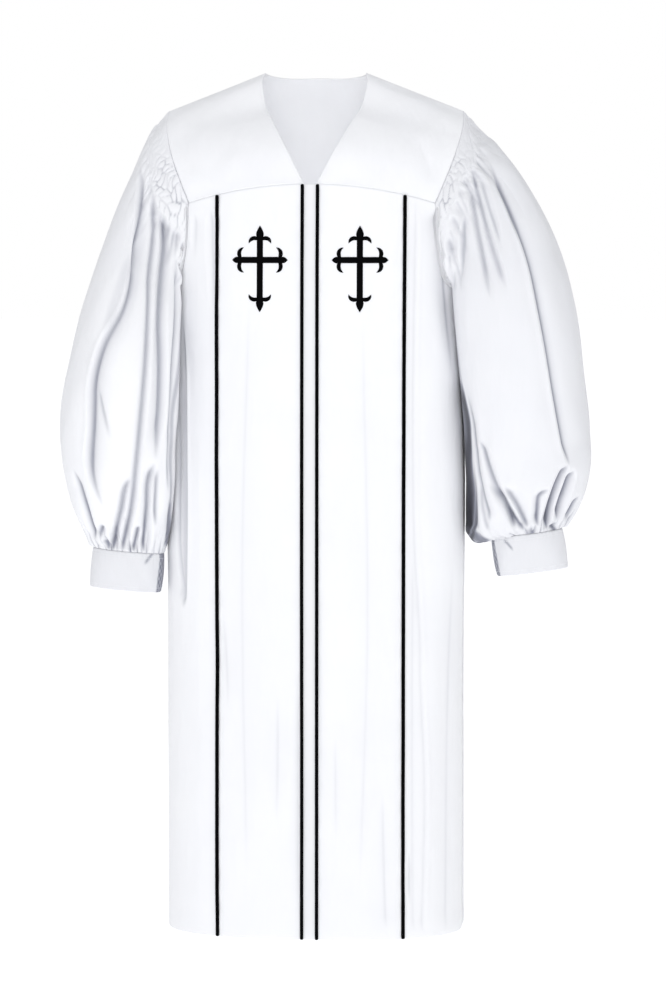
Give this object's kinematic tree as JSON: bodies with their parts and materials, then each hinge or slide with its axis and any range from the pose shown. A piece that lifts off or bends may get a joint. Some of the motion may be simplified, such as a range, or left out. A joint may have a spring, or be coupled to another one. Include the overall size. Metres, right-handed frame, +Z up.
{
  "type": "pulpit robe",
  "caption": "White ankle-length pulpit robe with a V neck, full gathered sleeves, black piped front panels, a closed zip placket and black fleury crosses on the chest.",
  "frame": {"origin": "inside the robe, midway between the middles of the two shoulder seams, where a wearer's shoulders carry it", "axes": "+Z up along the robe, -Y towards its front, +X towards the viewer's right as seen from the front"},
  "size_m": [0.791, 0.2921, 1.28],
  "materials": {
    "white_cloth": "soft white woven cloth with a faint satin sheen",
    "placket_cloth": "white woven cloth, pressed flat over the zip",
    "black_piping": "black cloth piping over a cord",
    "black_embroidery": "raised black satin stitch"
  },
  "bodies": {
    "root": {"back_yoke": "white_cloth", "front_yoke_left": "white_cloth", "front_yoke_right": "white_cloth", "back": "white_cloth", "front_side_left": "white_cloth", "front_side_right": "white_cloth", "front_centre_left": "white_cloth", "front_centre_right": "white_cloth", "sleeve_left": "white_cloth", "sleeve_right": "white_cloth", "cuff_left": "white_cloth", "cuff_right": "white_cloth", "zip_placket": "placket_cloth", "piping_outer_left": "black_piping", "piping_inner_left": "black_piping", "piping_inner_right": "black_piping", "piping_outer_right": "black_piping", "cross_left": "black_embroidery", "cross_right": "black_embroidery"}
  },
  "joints": []
}
